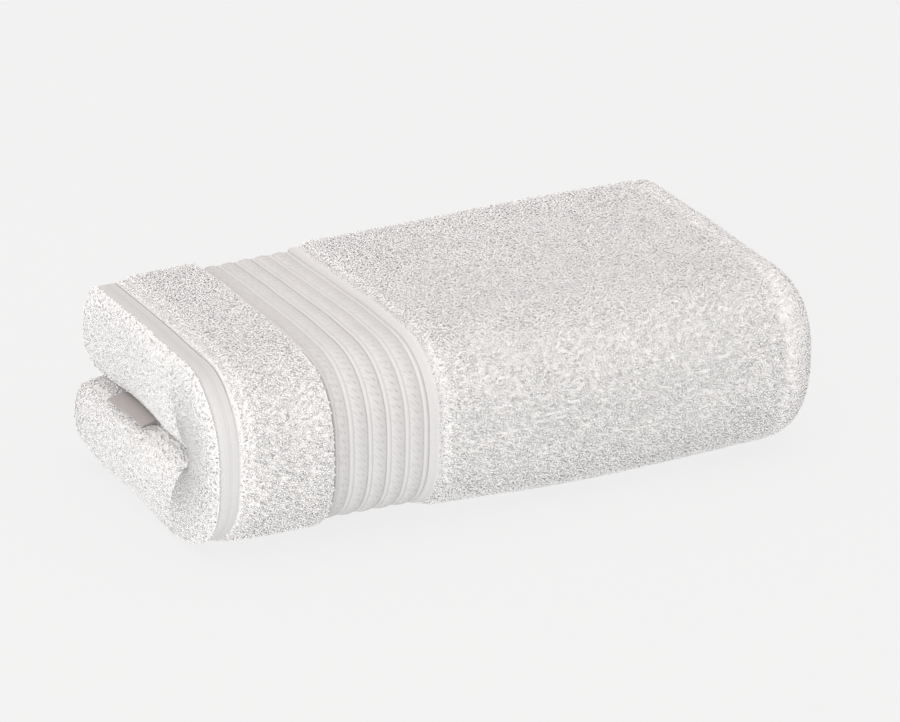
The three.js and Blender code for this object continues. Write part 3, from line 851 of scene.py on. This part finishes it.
def pile_regions():
    """Where loops stand: root, normal, direction, and each loop's height, radius and tone."""
    regions = []
    front = Q_LOW - 1.0
    pile, low, lobe = (1.1, 0.62), (0.45, 0.42), (0.26, 0.6)
    hem_end, low_end = float(ends[1]), float(ends[2])
    for p0, p1, spacing, (height, radius) in (
        (hem_end - 0.4, low_end, 1.2, low),
        (low_end, BORDER_START - 1.0, 1.62, pile),
        (BORDER_END + 4.0, FIELD_START, 1.3, low),
        (FIELD_START, MARKS["outer"], 1.65, pile),
        (MARKS["outer"], MARKS["turn"] + 26, 2.25, pile),
        (MARKS["lobe"] - 30, MARKS["hem side"] + 0.3, 1.34, lobe),
    ):
        p, q = scattered(p0, p1, front, Q[-1], spacing)
        height = np.minimum(height, banded(from_hem(p), [0.7, 0.7, 0.7, 1.5, 0.7, 0.7], 1.5))
        height = height * (1 - 0.8 * beside_hem(p)) * (1 - 0.5 * thin_line(p, BORDER_START, 4.0))
        regions.append((on_outside(p, q), height, radius, yarn_tone_and_painted_shading(p, q)))
    p, q = scattered(MARKS["lobe"] - 8, MARKS["hem side"] + 0.3, 0, front, 1.34)
    regions.append((on_outside(p, q), lobe[0] * (1 - 0.8 * beside_hem(p)), lobe[1], yarn_tone_and_painted_shading(p, q)))
    p, q = scattered(MARKS["outer"] + 6, MARKS["turn"] + 16, 0, front, 2.4)
    regions.append((on_outside(p, q), pile[0] * (0.3 + 0.7 * on_turn(p)), pile[1], yarn_tone_and_painted_shading(p, q)))
    for p0, p1 in ((low_end, BORDER_START), (FIELD_START, MARKS["end"])):
        p, turn = scattered(p0, p1, 0, 20, 2.6)
        regions.append((on_back_edge(p, np.radians(turn * 9 - 90)), *pile, yarn_tone_and_painted_shading(p, Q[-1] + 0 * p)))
    return regions


def make_pile(tree):
    roots, normals, alongs, heights, radii, tones = [], [], [], [], [], []
    for (root, normal, along), height, radius, tone in pile_regions():
        n = len(root)
        tall = height * rng.uniform(0.82, 1.12, n)
        keep = exposed(tree, root, normal, tall)
        roots.append(root[keep])
        normals.append(normal[keep])
        alongs.append(along[keep])
        heights.append(tall[keep])
        radii.append(radius * rng.uniform(0.85, 1.15, keep.sum()))
        tones.append(tone[keep])
    root, normal, along = np.concatenate(roots), np.concatenate(normals), np.concatenate(alongs)
    height, radius = np.concatenate(heights), np.concatenate(radii)
    width = 2.3 * radius * rng.uniform(0.8, 1.3, len(root))
    points = loop_tubes(root, normal, along, height, width, radius)
    points[..., 2] = np.maximum(points[..., 2], 0.1)
    s = np.arange(SIDES)
    a, b = 1 + s, 1 + (s + 1) % SIDES
    foot, last = 0 * s, 0 * s + 1 + 2 * SIDES
    belt = np.stack([a, b, b + SIDES, a + SIDES], -1)
    feet = np.concatenate([np.stack([foot, b, a], -1), np.stack([last, a + SIDES, b + SIDES], -1)])
    per_loop = 2 + 2 * SIDES
    tone = np.concatenate(tones)
    per_piece = PIECE_LIMIT // (2 * len(belt) + len(feet))
    pieces = []
    for first in range(0, len(root), per_piece):
        part = points[first : first + per_piece]
        n = len(part)
        base = (np.arange(n) * per_loop)[:, None, None]
        quads, tris = (belt[None] + base).reshape(-1, 4), (feet[None] + base).reshape(-1, 3)
        shade = np.repeat(tone[first : first + per_piece], per_loop)
        name = f"pile_{len(pieces) + 1}"
        pieces.append(make_piece(name, part.reshape(-1, 3), quads, tris, MATERIALS["pile"], tone=shade))
    return pieces


# ---- The label: a ribbon folded into a loop, tucked into the crease
LABEL = {"front": 100.5, "length": 47.0, "inside": 11.0, "outside": -5.6, "bend": 5.0}
LABEL_DROOP, LABEL_CLOTH, LABEL_GAP = 2.4, 0.35, 0.3


def make_label():
    def droop(x):
        share = np.maximum(0, (LABEL["bend"] - x) / (LABEL["bend"] - LABEL["outside"]))
        return -LABEL_DROOP * share**1.5

    half = LABEL_GAP / 2 + LABEL_CLOTH
    nose = LABEL["outside"] + half
    xs = np.linspace(LABEL["inside"], nose, 22)

    def round_profile(offset):
        upper = [(x, droop(x) + offset) for x in xs]
        angles = np.radians([60, 30, 0, -30, -60])
        turn = [(nose - offset * math.cos(t), droop(nose) + offset * math.sin(t)) for t in angles]
        lower = [(x, droop(x) - offset) for x in xs[::-1]]
        return upper + turn + lower

    profile = np.array(round_profile(half) + round_profile(LABEL_GAP / 2)[::-1])
    ys = np.linspace(LABEL["front"], LABEL["front"] + LABEL["length"], 34)
    sway = 0.25 * np.sin((ys - LABEL["front"]) / 7.0)
    points = np.zeros((len(ys), len(profile), 3))
    points[..., 0] = profile[:, 0] + 0.5 * sway[:, None] * (profile[:, 0] < 2)
    points[..., 1] = ys[:, None]
    free = np.clip((LABEL["bend"] - profile[:, 0]) / 12, 0, 1)
    points[..., 2] = crease_height(ys - SPINE_REACH)[:, None] + profile[:, 1] + sway[:, None] * free
    n = len(profile)
    i, j = np.meshgrid(np.arange(len(ys) - 1), np.arange(n), indexing="ij")
    a, b = i * n + j, i * n + (j + 1) % n
    quads = np.stack([a, b, b + n, a + n], -1).reshape(-1, 4)
    half_count = n // 2
    caps = []
    for first in (0, (len(ys) - 1) * n):
        outer = first + np.arange(half_count)
        inner = first + np.arange(half_count, n)[::-1]
        caps += [(outer[k], outer[k + 1], inner[k + 1], inner[k]) for k in range(half_count - 1)]
    cloth = np.zeros((len(ys), n, 3))
    cloth[..., 0] = np.cumsum(np.hypot(*np.diff(profile, axis=0, prepend=profile[:1]).T))
    cloth[..., 1] = ys[:, None]
    quads = np.concatenate([quads, np.array(caps)])
    points = uneven(points.reshape(-1, 3))
    return make_piece("ribbon", points, quads, [], MATERIALS["label"], cloth=cloth.reshape(-1, 3))


cloth_piece, cloth_tree = make_cloth()
border_piece = make_border()
pile_pieces = make_pile(cloth_tree)
label_piece = make_label()

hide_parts("towel")
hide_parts("label")


# ---- Floor, light and camera
PALE = 0.887
FLOOR_GREY, FLOOR_LIT = (0.075, 0.075, 0.074, 1), 0.088  # its colour, and what light adds to it
SENSOR, PICTURE_WIDTH = 36, 900


def make_floor():
    bpy.ops.mesh.primitive_plane_add(size=60, location=(0, 0, 0))
    floor = bpy.context.object
    floor.name = "floor"
    material = bpy.data.materials.new("pale floor")
    material.use_nodes = True
    tree = material.node_tree
    shader = tree.nodes["Principled BSDF"]
    shader.inputs["Roughness"].default_value = 1.0
    shader.inputs["Specular IOR Level"].default_value = 0.0
    shader.inputs["Base Color"].default_value = FLOOR_GREY
    shader.inputs["Emission Color"].default_value = (1, 1, 1, 1)
    shader.inputs["Emission Strength"].default_value = PALE - FLOOR_LIT
    floor.data.materials.append(material)


def make_light():
    world = bpy.data.worlds.new("studio")
    world.use_nodes = True
    world.node_tree.nodes["Background"].inputs["Color"].default_value = (PALE, PALE, PALE, 1)
    world.node_tree.nodes["Background"].inputs["Strength"].default_value = 1.0
    bpy.context.scene.world = world
    for name, place, size, power, color in (
        ("key", (-2.32, -2.06, 0.5), (3.0, 0.9), 51.0, (1.0, 0.998, 0.988)),
        ("top", (0.3, 0.3, 3.2), (4.0, 4.0), 43.5, (1.0, 0.9, 0.88)),
    ):
        data = bpy.data.lights.new(name, "AREA")
        data.shape = "RECTANGLE"
        data.size, data.size_y = size
        data.energy = power
        data.color = color
        lamp = bpy.data.objects.new(name, data)
        lamp.location = place
        lamp.visible_camera = False
        lamp.rotation_euler = (-Vector(place)).to_track_quat("-Z", "Y").to_euler()
        bpy.context.scene.collection.objects.link(lamp)


def make_camera():
    """The photo's view: a long lens from the front left, 21 degrees above the floor."""
    azimuth, elevation = math.radians(-27.15), math.radians(21.11)
    distance, focal = 3.931, 6839.7
    target = Vector((0.02167, -0.00435, 0.05004))
    back = Vector((
        math.sin(azimuth) * math.cos(elevation),
        -math.cos(azimuth) * math.cos(elevation),
        math.sin(elevation),
    ))
    right = Vector((math.cos(azimuth), math.sin(azimuth), 0))
    up = back.cross(right)
    place = target + back * distance
    aim = target + (right * -27.67 + up * 5.52) * (distance / focal)
    data = bpy.data.cameras.new("camera")
    data.sensor_width = SENSOR
    data.lens = SENSOR * focal / PICTURE_WIDTH
    data.clip_end = 100
    camera = bpy.data.objects.new("camera", data)
    camera.location = place
    camera.rotation_euler = (aim - place).to_track_quat("-Z", "Y").to_euler()
    bpy.context.scene.collection.objects.link(camera)
    bpy.context.scene.camera = camera


make_floor()
make_light()
make_camera()
bpy.context.scene.view_settings.view_transform = "Standard"
